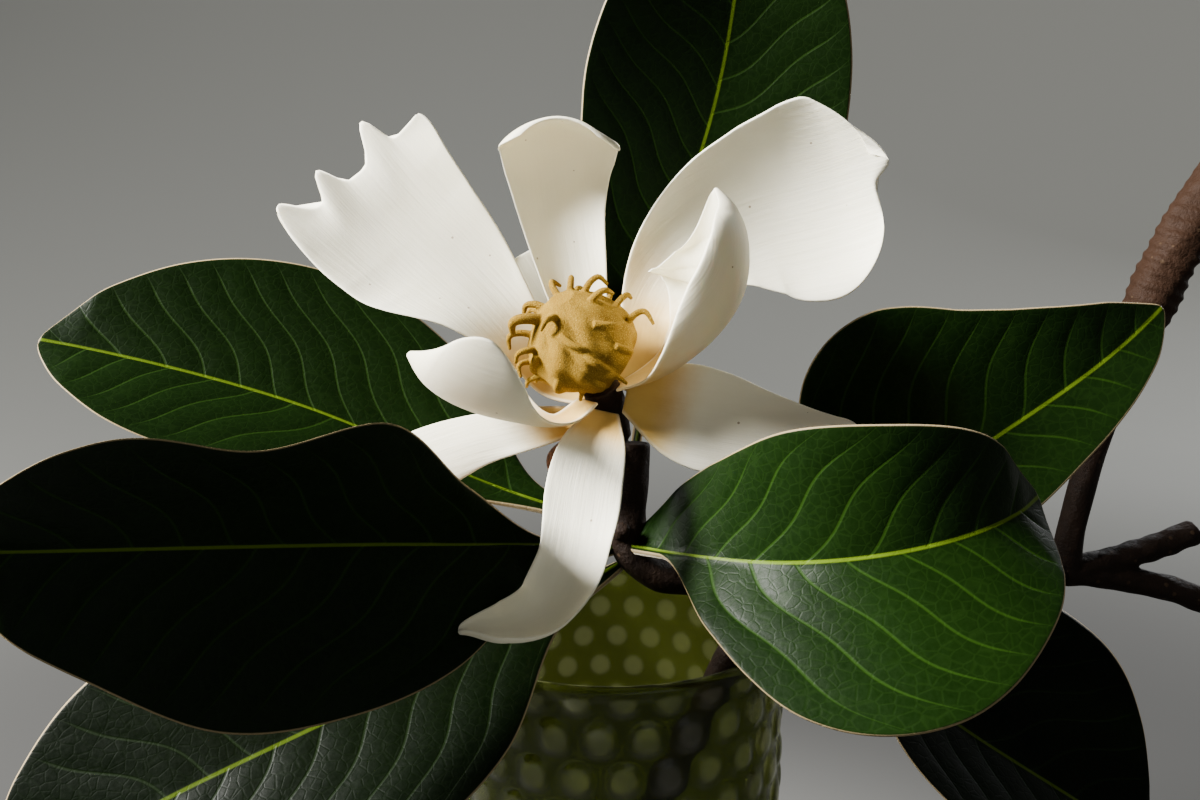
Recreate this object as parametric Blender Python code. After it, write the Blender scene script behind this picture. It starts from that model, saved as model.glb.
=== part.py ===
"""A magnolia branch with one open flower, standing in a hobnail glass vase.

Frame: metres, +Z up, origin at the centre of the vase's foot.  +X runs along the branch's
long arm, -Y is the side that the flower faces.  Lengths below are millimetres.
"""
import math

import bmesh
import bpy
import numpy as np

MM = 0.001
GAP = 0.3            # clearance between a piece and the piece that carries it

VASE_HEIGHT = 200.0
VASE_RADIUS = 60.0
VASE_WALL = 4.0
FLOOR_THICK = 9.0
FOOT_RADIUS = 52.0
FOOT_MIDDLE = 0.5    # share of the foot's radius at which its flat has one more ring
FLOOR_MIDDLE = 0.4   # the same for the inner floor, as a share of the inner radius
HOBNAIL_COUNT = 27   # hobnails in one row round the vase
HOBNAIL_ROWS = 15
HOBNAIL_RISE = 1.4
HOBNAIL_FIRST = 7.0  # height of the lowest row
HOBNAIL_LAST = 5.0   # how far under the rim the highest row lies
LIP_STEPS = 4        # flats round the lip
FLOOR_ROUND = 6.0    # size of the slope between the inner wall and the floor

RECEPTACLE_BASE = (-3.5, -21.8, 283.5)      # where the carpel cone sits on the flower's axis
FLOWER_AXIS = (-0.351, -0.386, 0.853)
RECEPTACLE_RADIUS = 6.0
RECEPTACLE_LENGTH = 13.0
RECEPTACLE_NECK = 3.0       # radius where it meets the flower arm
RECEPTACLE_SHOULDER = 0.75  # share of its radius at its lower end
NECK_LENGTH = 8.0
RECEPTACLE_RING = 18
CONE_CLEAR = 19.0    # how far out a petal runs before it may rise beside the cone
GROWTH_STEP = 12.5   # between the points of a path that grows
SEAT_GAP = 0.6       # clearance between a petal and the receptacle

PETAL_THICK = 1.4
LEAF_THICK = 1.1
PETIOLE_THICK = 3.0
LEAF_NEAR_STALK = 1.2       # how much thicker a blade still is next to its stalk
BLADE_RING = 16      # points round a blade's section
BLADE_STATIONS = 11  # sections along a blade
BLADE_CROWDING = 1.2        # how much closer the sections stand towards its end
BLADE_EDGE = 0.4            # how square its edges are, 1 is round
BLADE_FOLD_WIDTH = 20.0     # half width from which the fold at the midrib is whole
BLADE_BLUNT = 0.03          # share of the width left at the very tip, before the root
BLADE_SHARP = 70     # degrees above which an edge between its faces is left sharp
ARC_STEPS = 9        # steps in which a half's curl is summed up
TUBE_RING = 10
TUBE_SIDE = (0.13, 0.99, 0.05)      # a direction that no limb runs along, to start its rings from
BLADE_STEP = 0.001   # share of a blade's path over which its direction is taken
TUBE_STEP = 0.002    # the same for a tube
FEWEST_STEPS = 3     # in a path that grows
WELD = 1e-6          # metres within which corners are one

SCAR_RINGS = 11      # rings of old leaf scars along the long arm
SCAR_HEIGHT = 0.07   # their height as a share of the radius
SCAR_MIDDLE = 0.72   # where they are strongest, and how far they spread, in shares of its length
SCAR_SPREAD = 0.2

# A blade is a curved sheet.  It grows from its "foot", or from its "seat" on the receptacle (the
# angle round the flower's axis, its height there and its height where it clears the cone, None
# for one that never rises beside the cone), by its "length" through its "headings".  A heading
# is (swing, back) in degrees: swing turns from +X (0) up to +Z (90) and on round, back leans
# away from the side that the flower faces.  "face" is the way its upper side looks, "left" and
# "right" its half widths, "turn" how many degrees each half curls up towards its edge, "fold"
# the angle at the midrib, "tip" the share of its length that rounds off the end.  "on" is the
# limb it grows from.
PETALS = {
    "petal_1": dict(
        seat=(142, -5, 1), length=93, headings=[(120, 0), (132, 10), (137, 5), (130, -5)],
        face=[(0.4, -0.6, 0.7), (0.5, -0.8, 0.4), (0.4, -0.9, 0), (0.3, -0.95, -0.2)],
        left=[4.5, 10, 23, 34, 35, 31], right=[4.5, 8, 13, 20, 26, 30],
        turn=[10, 30, 45, 50, 48, 38], tip=0.06),
    "petal_2": dict(
        seat=(90, -1.5, 1.2), length=90, headings=[(97, 10), (100, 12), (98, 5), (94, -25), (85, -110)],
        face=[(0, -0.6, 0.8), (0, -1, 0.2), (0, -1, 0.1), (0, -0.9, -0.4)],
        left=[4.5, 9, 14, 18, 21, 22], right=[4.5, 7, 11, 14, 20, 23],
        turn=[10, 30, 45, 45, 45, 50], tip=0.1),
    "petal_3": dict(
        seat=(31, -5.5, -1.5), length=101, headings=[(85, 10), (45, 15), (15, -5), (20, -30)],
        face=[(-0.2, -0.6, 0.7), (-0.2, -1, 0.2), (-0.2, -1, 0), (-0.3, -0.9, 0)],
        left=[4.5, 10, 20, 30, 36, 34], right=[4.5, 8, 15, 24, 32, 28],
        turn=[10, 30, 40, 40, 35, 30], tip=0.16),
    "petal_4": dict(
        seat=(-22, -1.5, 0), length=70, headings=[(30, -30), (50, -10), (92, 12), (128, 15)],
        face=[(-0.5, -0.1, 0.85), (-0.7, -0.1, 0.6), (-0.85, -0.2, 0.5), (-1, -0.2, 0)],
        left=[4.5, 14, 28, 34, 28, 10], right=[4.5, 12, 24, 30, 26, 10],
        turn=[10, 50, 90, 100, 90, 60], tip=0.2),
    "petal_5": dict(
        seat=(-30, -6, None), length=74, headings=[(-10, -10), (-8, -4), (-4, 0)],
        face=[(0.1, -0.95, 0.3), (0.1, -1, 0.1), (0.1, -1, 0.1)],
        left=[4.5, 14, 14, 10, 6, 3], right=[4.5, 15, 18, 13, 8, 4],
        turn=[10, 15, 10, 5, 0], tip=0.12),
    "petal_6": dict(
        seat=(-104, -6, None), length=92,
        headings=[(-115, -65), (-108, -35), (-99, -25), (-112, -25), (-160, -15), (-190, 0)],
        face=[(0, -0.8, 0.6), (0, -0.9, 0.4), (-0.2, -0.9, 0.3), (-0.5, -0.8, 0.3), (-0.5, -0.2, 0.8)],
        left=[4.5, 10, 12, 12, 14, 11, 5], right=[4.5, 10, 11, 10, 11, 10, 5],
        turn=[10, 10, 15, 50, 90, 100], tip=0.12),
    "petal_7": dict(
        seat=(-142, -1.5, 0.5), length=53, headings=[(180, -15), (160, 0), (118, 15)],
        face=[(-0.2, -0.3, 0.9), (0.2, 0, 1), (0.5, 0, 0.85)],
        left=[4.5, 10, 36, 36, 14], right=[4.5, 6, 26, 34, 14],
        turn=[10, 30, 80, 80, 50], tip=0.2),
    "petal_8": dict(
        seat=(178, -10, None), length=68, headings=[(187, -10), (192, -15), (208, -15)],
        face=[(0, -0.7, 0.7), (0.1, -0.8, 0.6), (0.3, -0.8, 0.5)],
        left=[4.5, 7, 8, 11, 11], right=[4.5, 8, 10, 11, 10],
        turn=[10, 0, -15, -20, -20], tip=0.2),
    "petal_9": dict(
        seat=(100, -9, -7), length=50, headings=[(110, 10), (120, 20), (120, 15)],
        face=[(0, -0.6, 0.8), (0.1, -0.95, 0.2), (0.1, -1, 0)],
        left=[4.5, 10, 14, 19, 16], right=[4.5, 8, 12, 16, 15],
        turn=[10, 20, 25, 30, 30], tip=0.2),
}

LEAVES = {
    "leaf_1": dict(
        on="flower_arm",
        foot=(6, -14, 251), length=218, headings=[(78, 30), (80, 25), (71, 10), (82, -10), (88, -25)],
        face=[(0, -0.9, 0.3), (0, -1, 0.2), (0, -1, 0), (0, -0.9, 0.4)],
        left=[1.7, 2, 24, 42, 48, 40, 14], right=[1.7, 2, 26, 46, 46, 36, 12],
        turn=[10], fold=8, tip=0.12),
    "leaf_2": dict(
        on="flower_arm",
        foot=(4, -15, 237), length=200, headings=[(174, 15), (156, 5), (162, -5), (168, -8)],
        face=[(0.1, -0.6, 0.8), (0.1, -0.7, 0.7)],
        left=[1.7, 4, 15, 27, 37, 32, 10], right=[1.7, 8, 34, 48, 50, 38, 10],
        turn=[5], fold=14, tip=0.08),
    "leaf_3": dict(
        on="flower_arm",
        foot=(2, -16, 229), length=190, headings=[(164, -35), (168, -35), (170, -35), (172, -30)],
        face=[(0, -0.9, 0.4), (0, -1, 0), (0, -1, -0.2)],
        left=[1.7, 12, 36, 46, 46, 30, 10], right=[1.7, 3, 20, 42, 34, 38, 16],
        turn=[10], fold=20, tip=0.12),
    "leaf_4": dict(
        on="flower_arm",
        foot=(3, -15, 223), length=195, headings=[(200, -35), (200, -28), (200, -20), (210, -20)],
        face=[(-0.1, -0.65, 0.75), (-0.1, -0.8, 0.6)],
        left=[1.7, 10, 36, 46, 46, 38, 12], right=[1.7, 6, 30, 43, 46, 38, 12],
        turn=[5], fold=6, tip=0.08),
    "leaf_5": dict(
        on="flower_arm",
        foot=(3, -16, 230), length=148, headings=[(10, -50), (9, -44), (12, -25), (13, 10), (17, 50)],
        face=[(0, -0.8, 0.6), (0, -0.9, 0.4), (0, -0.95, 0.3), (0.5, -0.8, 0.4)],
        left=[1.7, 22, 32, 38, 36, 28, 10], right=[1.7, 3, 24, 44, 46, 30, 8],
        turn=[10], fold=14, tip=0.14),
    "leaf_6": dict(
        on="stem",
        foot=(66, -15, 212), length=143, headings=[(57, -8), (43, -8), (37, -3), (45, 8)],
        face=[(-0.3, -0.9, 0.4), (0.1, -0.95, 0.3), (0.2, -0.95, 0.2)],
        left=[1.7, 25, 52, 56, 38, 22, 5], right=[1.7, 9, 22, 25, 21, 15, 6],
        turn=[8], fold=8, tip=0.1),
    "leaf_7": dict(
        on="stem",
        foot=(73, -14, 212), length=132, headings=[(-58, 0), (-33, -8), (-30, -14)],
        face=[(0.2, -0.65, 0.75)],
        left=[1.7, 10, 40, 58, 62, 52, 16], right=[1.7, 6, 24, 32, 34, 28, 10],
        turn=[5], fold=8, tip=0.1),
    "leaf_8": dict(
        on="long_arm",
        foot=(200, 12, 343), length=124, headings=[(75, -35), (72, -10), (68, 5), (62, 15)],
        face=[(-0.3, -0.9, 0.3), (-0.2, -0.95, 0.2)],
        left=[1.7, 7, 20, 25, 19, 8], right=[1.7, 7, 20, 25, 19, 8],
        turn=[10], fold=10, tip=0.12),
}

BRACTS = {
    "bract_1": dict(
        seat=(-138, -14, None), length=22, headings=[(-150, -10), (-120, -20)],
        face=[(-0.2, -0.6, 0.8)],
        left=[2.5, 6, 8, 5], right=[2.5, 6, 8, 5], turn=[30], tip=0.3),
}

# The woody piece.  The stem stands on the vase's floor, leans on its rim and grows on from
# there.  Every other limb grows from "where" it starts.  "radii" are at even steps.
STEM_RADIUS = 5.0
STEM_RUNS = 12       # even steps up the straight stretch in the vase
STEM_SLANT = 1.1     # how much wider the leaning stem is in a level cut
STEM_FOOT = (-30, 30, FLOOR_THICK + 3)
STEM_LEANS = -39     # degrees round the vase, where the stem rests on the rim
FORK = (62, -16, 212)
LONG_FORK = (158, 4, 215)
LIMBS = {
    "stem": dict(length=129, headings=[(50, 36), (8, 20), (-2, 12), (4, 12), (8, 12)],
                 radii=[5], stations=16),
    "flower_arm": dict(where=FORK, length=95,
                       headings=[(172, 5), (170, 0), (168, 0), (160, -5), (95, 0), (85, 0), (95, 3)],
                       radii=[4.9, 4.9, 5.2, 6, 5, 5], stations=12),
    "long_arm": dict(where=LONG_FORK, length=152,
                     headings=[(80, 7), (74, 7), (72, 0), (67, 0), (63, 5)],
                     radii=[4.9, 4.5, 5, 8, 8, 5], stations=34),
    "twig_a": dict(where=LONG_FORK, length=50, headings=[(10, 5), (19, 9)],
                   radii=[4.8, 4.5, 4.5], stations=5),
    "twig_b": dict(where=LONG_FORK, length=72, headings=[(-5, 5), (-14, -5), (-33, -20)],
                   radii=[4.7, 4.5, 4.5, 4], stations=6),
    "stub": dict(where=(3, -17, 234), length=13, headings=[(80, -70), (85, -60)],
                 radii=[2.8, 2.5, 2.2], stations=4),
}

CONE_PROFILE = [(0, 5), (3, 11), (8, 15.5), (14, 17), (20, 16.5), (26, 14), (31, 9.5), (33, 4)]
CONE_LOBES = 8
CONE_LOBE_HEIGHT = 0.05     # as a share of the radius
CONE_TWIST = 0.02           # radians of twist for each mm of height
CONE_RING = 24
STIGMA_RINGS = [(28, 6, 11), (20, 8, 15), (10, 5, 17)]     # height, count, distance from axis
STIGMA_SUNK = 3      # how deep a stigma's foot lies in the cone
STIGMA_CURL = [(0, 0, 0), (5, 2, 0), (6.5, 5, 2), (4, 6.5, 4.5)]    # out, up and aside of its foot
STIGMA_RADII = [1.3, 1.1, 0.9, 0.6]
STIGMA_START = 0.4   # angle of the first one, in radians
STIGMA_STATIONS = 5
STIGMA_RING = 5


def unit(v):
    v = np.asarray(v, float)
    return v / np.linalg.norm(v, axis=-1, keepdims=True)


def smooth_through(values, t):
    """Catmull-Rom values through evenly spaced samples, t in 0..1."""
    v = np.asarray(values, float)
    flat = v.ndim == 1
    v = v.reshape(len(v), -1)
    if len(v) == 1:
        v = np.repeat(v, 2, 0)
    last = len(v) - 1
    x = np.clip(np.atleast_1d(t), 0, 1) * last
    i = np.minimum(x.astype(int), last - 1)
    f = (x - i)[:, None]
    before = np.where((i > 0)[:, None], v[np.maximum(i - 1, 0)], 2 * v[i] - v[i + 1])
    after = np.where((i < last - 1)[:, None], v[np.minimum(i + 2, last)], 2 * v[i + 1] - v[i])
    a, b = v[i], v[i + 1]
    out = 0.5 * (2 * a + (b - before) * f + (2 * before - 5 * a + 4 * b - after) * f ** 2
                 + (3 * a - before - 3 * b + after) * f ** 3)
    return out[:, 0] if flat else out


def material(name, colour, roughness):
    mat = bpy.data.materials.get(name)
    if mat is None:
        mat = bpy.data.materials.new(name)
        mat.use_nodes = True
        shader = mat.node_tree.nodes["Principled BSDF"]
        shader.inputs["Base Color"].default_value = (*colour, 1.0)
        shader.inputs["Roughness"].default_value = roughness
    return mat


def add_object(name, bm, mat, sharp_angle=50):
    mesh = bpy.data.meshes.new(name)
    bm.to_mesh(mesh)
    bm.free()
    mesh.materials.append(mat)
    mesh.shade_smooth()
    mesh.set_sharp_from_angle(angle=math.radians(sharp_angle))
    obj = bpy.data.objects.new(name, mesh)
    bpy.context.collection.objects.link(obj)
    return obj


def wrapped_grid(points):
    """A closed skin through points[station, ring]: a grid rolled into a tube, both ends filled."""
    stations, ring = points.shape[:2]
    bm = bmesh.new()
    bmesh.ops.create_grid(bm, x_segments=ring, y_segments=stations - 1, size=1.0)
    for vert in bm.verts:
        i = round((vert.co.x + 1) / 2 * ring) % ring
        j = round((vert.co.y + 1) / 2 * (stations - 1))
        vert.co = points[j, i] * MM
    bmesh.ops.remove_doubles(bm, verts=bm.verts, dist=WELD)
    bmesh.ops.holes_fill(bm, edges=[e for e in bm.edges if e.is_boundary], sides=0)
    bmesh.ops.recalc_face_normals(bm, faces=bm.faces)
    return bm


def flower_frame():
    axis = unit(FLOWER_AXIS)
    right = unit(np.cross((0, 1, 0), axis))
    return np.array(RECEPTACLE_BASE), axis, right, np.cross(axis, right)


def grown_path(start, length, headings):
    """Points of a path that grows from its start through headings at even steps."""
    count = max(round(length / GROWTH_STEP), FEWEST_STEPS)
    turns = np.radians(smooth_through(headings, (np.arange(count) + 0.5) / count))
    swing, back = turns[:, 0], turns[:, 1]
    ahead = np.stack([np.cos(back) * np.cos(swing), np.sin(back), np.cos(back) * np.sin(swing)], 1)
    return [*(np.asarray(start, float) + np.cumsum(ahead * length / count, 0))]


def grown_spine(length, headings, foot=None, seat=None):
    """A blade's midrib: a leaf's from its foot, a petal's from its seat on the receptacle."""
    if foot is not None:
        return [np.array(foot, float), *grown_path(foot, length, headings)]
    turn, low, high = seat
    base, axis, right, up = flower_frame()
    out = right * math.cos(math.radians(turn)) + up * math.sin(math.radians(turn))
    points = [base + axis * low + out * (RECEPTACLE_RADIUS + SEAT_GAP)]
    if high is not None:
        points.append(base + axis * high + out * CONE_CLEAR)
    return [*points, *grown_path(points[-1], length, headings)]


def limb_path(name):
    """A limb's path; the stem's also runs straight from the vase's floor to its rim."""
    shape = LIMBS[name]
    if name != "stem":
        start = [np.array(shape["where"], float)]
        grown = grown_path(start[0], shape["length"], shape["headings"])
        return [*start, *grown]
    reach = VASE_RADIUS - VASE_WALL - STEM_RADIUS * STEM_SLANT - GAP
    turn = math.radians(STEM_LEANS)
    rim = np.array([reach * math.cos(turn), reach * math.sin(turn), VASE_HEIGHT])
    foot = np.array(STEM_FOOT, float)
    rise = [foot + (rim - foot) * k / STEM_RUNS for k in range(STEM_RUNS + 1)]
    return [*rise, *grown_path(rim, shape["length"], shape["headings"])]


def blade_points(spine, face, left, right, turn, tip, thick, fold=0):
    """Skin points of a curled sheet: sections along the midrib, each one closed round its edge."""
    t = 1 - (1 - np.linspace(0, 1, BLADE_STATIONS)) ** BLADE_CROWDING
    middle = smooth_through(spine, t)
    ahead = smooth_through(spine, np.clip(t + BLADE_STEP, 0, 1))
    behind = smooth_through(spine, np.clip(t - BLADE_STEP, 0, 1))
    along = unit(ahead - behind)
    up = smooth_through(face, t)
    up = unit(up - (up * along).sum(1, keepdims=True) * along)
    across = np.cross(along, up)
    rounded = np.where(t > 1 - tip, 1 - (np.maximum(t - 1 + tip, 0) / tip) ** 2, 1.0)
    rounded = np.maximum(rounded, BLADE_BLUNT) ** 0.5
    half = {side: np.maximum(smooth_through(widths, t), left[0]) * rounded
            for side, widths in ((-1, left), (1, right))}
    breadth = np.clip(np.minimum(half[-1], half[1]) / BLADE_FOLD_WIDTH, 0, 1)
    turned = np.radians(smooth_through(turn, t))
    folded = math.radians(fold) * breadth
    depth = smooth_through(thick, t) / 2
    points = np.zeros((len(t), BLADE_RING, 3))
    for k in range(BLADE_RING):
        phi = 2 * math.pi * k / BLADE_RING
        v = math.cos(phi)
        side = 1 if v >= 0 else -1
        steps = np.linspace(0, abs(v), ARC_STEPS)[:, None]
        angle = folded[None, :] + turned[None, :] * steps
        x = np.trapz(np.cos(angle), steps, axis=0) * half[side]
        y = np.trapz(np.sin(angle), steps, axis=0) * half[side]
        on_margin = k % (BLADE_RING // 2) == 0
        squared = 0 if on_margin else math.copysign(abs(math.sin(phi)) ** BLADE_EDGE, math.sin(phi))
        lean = folded + turned * abs(v)
        x = side * (x - depth * squared * np.sin(lean))
        y = y + depth * squared * np.cos(lean)
        points[:, k] = middle + across * x[:, None] + up * y[:, None]
    return points


def tube_points(path, radii, stations, ring=TUBE_RING, swell=None):
    t = np.linspace(0, 1, stations)
    middle = smooth_through(path, t)
    ends = np.clip(np.stack([t - TUBE_STEP, t + TUBE_STEP]), 0, 1)
    along = unit(smooth_through(path, ends[1]) - smooth_through(path, ends[0]))
    side = unit(np.cross(along, TUBE_SIDE))
    other = np.cross(along, side)
    radius = smooth_through(radii, t)
    if swell is not None:
        radius = radius * (1 + swell(t))
    angle = 2 * math.pi * np.arange(ring) / ring
    return (middle[:, None] + radius[:, None, None]
            * (side[:, None] * np.cos(angle)[None, :, None]
               + other[:, None] * np.sin(angle)[None, :, None]))


def apply_boolean(obj, cutter, operation):
    mod = obj.modifiers.new(operation.lower(), "BOOLEAN")
    mod.operation = operation
    mod.object = cutter
    mod.solver = "EXACT"


def make_cutter(name, bm):
    cutter = add_object(name, bm, material("bark", (0.05, 0.03, 0.02), 0.7))
    cutter.hide_render = True
    cutter.display_type = "WIRE"
    return cutter


# ---------------------------------------------------------------- vase

def build_vase():
    """One closed skin: foot, hobnailed outer wall, round lip, smooth inner wall and floor.

    A profile row is (radius, height, stagger); stagger says which columns carry a hobnail there.
    """
    columns = 2 * HOBNAIL_COUNT
    inner = VASE_RADIUS - VASE_WALL
    profile = [(0, 0, 0), (FOOT_RADIUS * FOOT_MIDDLE, 0, 0), (FOOT_RADIUS, 0, 0)]
    high = VASE_HEIGHT - HOBNAIL_LAST
    for row in range(HOBNAIL_ROWS + 1):
        height = HOBNAIL_FIRST + (high - HOBNAIL_FIRST) * row / HOBNAIL_ROWS
        profile.append((VASE_RADIUS - HOBNAIL_RISE, height, 1 if row % 2 else -1))
    lip = VASE_WALL / 2
    for step in range(LIP_STEPS + 1):
        turn = math.pi * step / LIP_STEPS
        radius = inner + lip + lip * math.cos(turn)
        profile.append((radius, VASE_HEIGHT - lip + lip * math.sin(turn), 0))
    profile.append((inner, FLOOR_THICK + FLOOR_ROUND, 0))
    profile.append((inner - FLOOR_ROUND, FLOOR_THICK, 0))
    profile.append((inner * FLOOR_MIDDLE, FLOOR_THICK, 0))
    profile.append((0, FLOOR_THICK, 0))
    points = np.zeros((len(profile), columns, 3))
    for j, (radius, height, stagger) in enumerate(profile):
        for i in range(columns):
            angle = 2 * math.pi * i / columns
            peak = stagger and (i % 2 == (stagger > 0))
            r = radius + (HOBNAIL_RISE if peak else 0)
            points[j, i] = (r * math.cos(angle), r * math.sin(angle), height)
    bm = wrapped_grid(points)
    return add_object("vase", bm, material("green_glass", (0.25, 0.32, 0.03), 0.08))


# ---------------------------------------------------------------- branch

def ring_scars(t):
    """Rings of old leaf scars on the swollen part of the long arm."""
    swollen = np.exp(-((t - SCAR_MIDDLE) / SCAR_SPREAD) ** 2)
    return SCAR_HEIGHT * swollen * np.cos(2 * math.pi * SCAR_RINGS * t)


def receptacle_points():
    """The short turned body under the cone that carries the petals."""
    base, axis, right, up = flower_frame()
    profile = [(-RECEPTACLE_LENGTH - NECK_LENGTH, RECEPTACLE_NECK),
               (-RECEPTACLE_LENGTH, RECEPTACLE_RADIUS * RECEPTACLE_SHOULDER),
               (-RECEPTACLE_LENGTH + RECEPTACLE_NECK, RECEPTACLE_RADIUS),
               (-GAP, RECEPTACLE_RADIUS)]
    heights, radii = np.array(profile).T
    angle = 2 * math.pi * np.arange(RECEPTACLE_RING) / RECEPTACLE_RING
    around = right * np.cos(angle)[:, None] + up * np.sin(angle)[:, None]
    return base + axis * heights[:, None, None] + radii[:, None, None] * around


def limb(name, extra=0.0):
    shape = LIMBS[name]
    swell = ring_scars if name == "long_arm" else None
    radii = np.array(shape["radii"]) + extra
    return wrapped_grid(tube_points(limb_path(name), radii, shape["stations"], swell=swell))


def build_branch():
    branch = add_object("branch", limb("stem"), material("bark", (0.05, 0.03, 0.02), 0.7))
    for name in LIMBS:
        if name != "stem":
            apply_boolean(branch, make_cutter("limb_" + name, limb(name)), "UNION")
    apply_boolean(branch, make_cutter("receptacle", wrapped_grid(receptacle_points())), "UNION")
    return branch


# ---------------------------------------------------------------- flower

def build_cone():
    """Golden cone of carpels with curled stigmas standing out of it."""
    base, axis, right, up = flower_frame()
    heights, radii = np.array(CONE_PROFILE, float).T
    angle = 2 * math.pi * np.arange(CONE_RING) / CONE_RING
    twisted = angle[None] + heights[:, None] * CONE_TWIST
    lobes = 1 + CONE_LOBE_HEIGHT * np.cos(CONE_LOBES * twisted)
    around = right * np.cos(angle)[:, None] + up * np.sin(angle)[:, None]
    points = base + axis * heights[:, None, None] + (radii[:, None] * lobes)[..., None] * around
    mat = material("carpel_gold", (0.6, 0.38, 0.1), 0.9)
    cone = add_object("carpel_cone", wrapped_grid(points), mat)
    for row, (height, count, reach) in enumerate(STIGMA_RINGS):
        for n in range(count):
            turn = 2 * math.pi * (n + 0.5 * (row % 2)) / count + STIGMA_START
            out = right * math.cos(turn) + up * math.sin(turn)
            aside = np.cross(axis, out)
            foot = base + axis * height + out * (reach - STIGMA_SUNK)
            path = [foot + out * a + axis * b + aside * c for a, b, c in STIGMA_CURL]
            bm = wrapped_grid(tube_points(path, STIGMA_RADII, STIGMA_STATIONS, STIGMA_RING))
            apply_boolean(cone, make_cutter(f"stigma_{row}_{n}", bm), "UNION")
    return cone


def build_blades():
    cutters = {name: make_cutter("clear_" + name, limb(name, GAP))
               for name in ("stem", "flower_arm", "long_arm")}
    looks = {"petal": material("petal_cream", (0.83, 0.82, 0.72), 0.75),
             "leaf": material("leaf_green", (0.03, 0.09, 0.015), 0.35),
             "bract": material("bract_brown", (0.16, 0.07, 0.04), 0.8)}
    near_stalk = LEAF_THICK * LEAF_NEAR_STALK
    leaf_depth = [PETIOLE_THICK, PETIOLE_THICK, near_stalk, LEAF_THICK, LEAF_THICK, LEAF_THICK]
    growth_keys = ("length", "headings", "foot", "seat")
    for name, shape in {**PETALS, **LEAVES, **BRACTS}.items():
        kind = name.split("_")[0]
        carrier = shape.get("on")
        growth = {key: value for key, value in shape.items() if key in growth_keys}
        form = {key: value for key, value in shape.items() if key not in (*growth_keys, "on")}
        depth = leaf_depth if kind == "leaf" else [PETAL_THICK]
        points = blade_points(grown_spine(**growth), thick=depth, **form)
        blade = add_object(name, wrapped_grid(points), looks[kind], BLADE_SHARP)
        if carrier:
            apply_boolean(blade, cutters[carrier], "DIFFERENCE")


for old in list(bpy.data.objects):
    bpy.data.objects.remove(old)
build_vase()
build_branch()
build_cone()
build_blades()
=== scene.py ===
import math

import bmesh
import bpy
import numpy as np
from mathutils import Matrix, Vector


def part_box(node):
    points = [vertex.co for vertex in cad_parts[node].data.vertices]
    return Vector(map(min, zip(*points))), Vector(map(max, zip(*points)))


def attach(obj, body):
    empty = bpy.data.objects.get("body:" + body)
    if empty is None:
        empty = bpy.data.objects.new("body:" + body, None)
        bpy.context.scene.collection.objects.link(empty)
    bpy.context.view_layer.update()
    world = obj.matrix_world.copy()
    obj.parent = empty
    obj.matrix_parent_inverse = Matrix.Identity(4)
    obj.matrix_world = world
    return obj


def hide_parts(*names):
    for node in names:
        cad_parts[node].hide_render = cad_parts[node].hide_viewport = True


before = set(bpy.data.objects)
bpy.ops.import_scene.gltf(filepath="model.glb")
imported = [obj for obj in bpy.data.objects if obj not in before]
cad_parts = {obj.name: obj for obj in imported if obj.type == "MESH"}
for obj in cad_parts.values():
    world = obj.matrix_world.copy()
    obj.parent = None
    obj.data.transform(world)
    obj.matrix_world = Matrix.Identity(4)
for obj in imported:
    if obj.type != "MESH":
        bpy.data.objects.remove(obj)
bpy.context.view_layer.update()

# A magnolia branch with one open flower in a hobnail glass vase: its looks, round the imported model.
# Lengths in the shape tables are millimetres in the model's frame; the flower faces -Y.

MM = 0.001

RECEPTACLE_BASE = (-3.5, -21.8, 283.5)
FLOWER_AXIS = (-0.351, -0.386, 0.853)
RECEPTACLE_RADIUS = 6.0
RECEPTACLE_LENGTH = 13.0
RECEPTACLE_PROFILE = [3, 4.2, 5.6, 6, 6]            # radii from the neck up
RECEPTACLE_STATIONS = 24
NECK_LENGTH = 8.0
CONE_CLEAR = 19.0
CLEARANCE = 0.3
SEAT_GAP = 0.6           # between a petal and the receptacle
GROWTH_STEP = 12.5       # between the points of a path that grows
FEWEST_STEPS = 3         # in such a path

SHEET_CROWDING = 1.25    # how much closer a sheet's sections stand towards its end
SHEET_STEP = 0.001       # share of a midrib over which its direction is taken
TUBE_STEP = 0.002        # the same for a tube
TUBE_SIDE = (0.13, 0.99, 0.05)      # a direction that no tube runs along, to start its rings from
CURL_STEPS = 48          # in which a half's curl is summed up
FOLD_WIDTH = 20.0        # half width from which the fold at the midrib is whole
NARROWEST = 0.25         # half width at the very tip
END_ROUND = 0.8          # length over which a sheet's thickness runs out at its end
SPIKE_START = 0.7        # share of a petal's length where its spikes begin to pull
ROLL_START = 0.86        # the same for the roll of its end
ROUND_SHARE = 0.38       # how much the points of a section gather at its margins
WELD = 2e-6              # metres within which corners are one

PETAL_GRID = (110, 112)  # sections along, points round
LEAF_GRID = (150, 132)
BRACT_GRID = (40, 40)
PETAL_THICK = [1.4]
LEAF_THICK = [3.0, 3.0, 1.3, 1.1, 1.0, 1.0]         # from the stalk to the tip
BRACT_THICK = [1.3]
LIMB_RING = 40
BARK_VOXEL = 0.00065     # metres, in the one skin over all the limbs
CONE_VOXEL = 0.00036
CONE_LENGTH = 33.0
CONE_PROFILE = [4, 7, 11, 14, 15.8, 16.4, 16.2, 15.2, 13.6, 11.5, 8.5, 4]     # radii from the base up
CONE_TIERS = (4, 12, 20, 27)        # heights of the rows of ridges

HOBNAIL_COUNT = 27
HOBNAIL_ROWS = 15
HOBNAIL_RISE = 1.4
VASE_WALL = 4.0
VASE_FLOOR = 9.0
FLOOR_ROUND = 7.0        # radius between the inner wall and the floor
FOOT_PROFILE = [(0, 0), (20, 0), (40, 0), (50.5, 0), (51.6, 0.25), (52.4, 0.9)]
FOOT_FLARE = [53, 57.4]  # radii from the foot out to the wall

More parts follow.
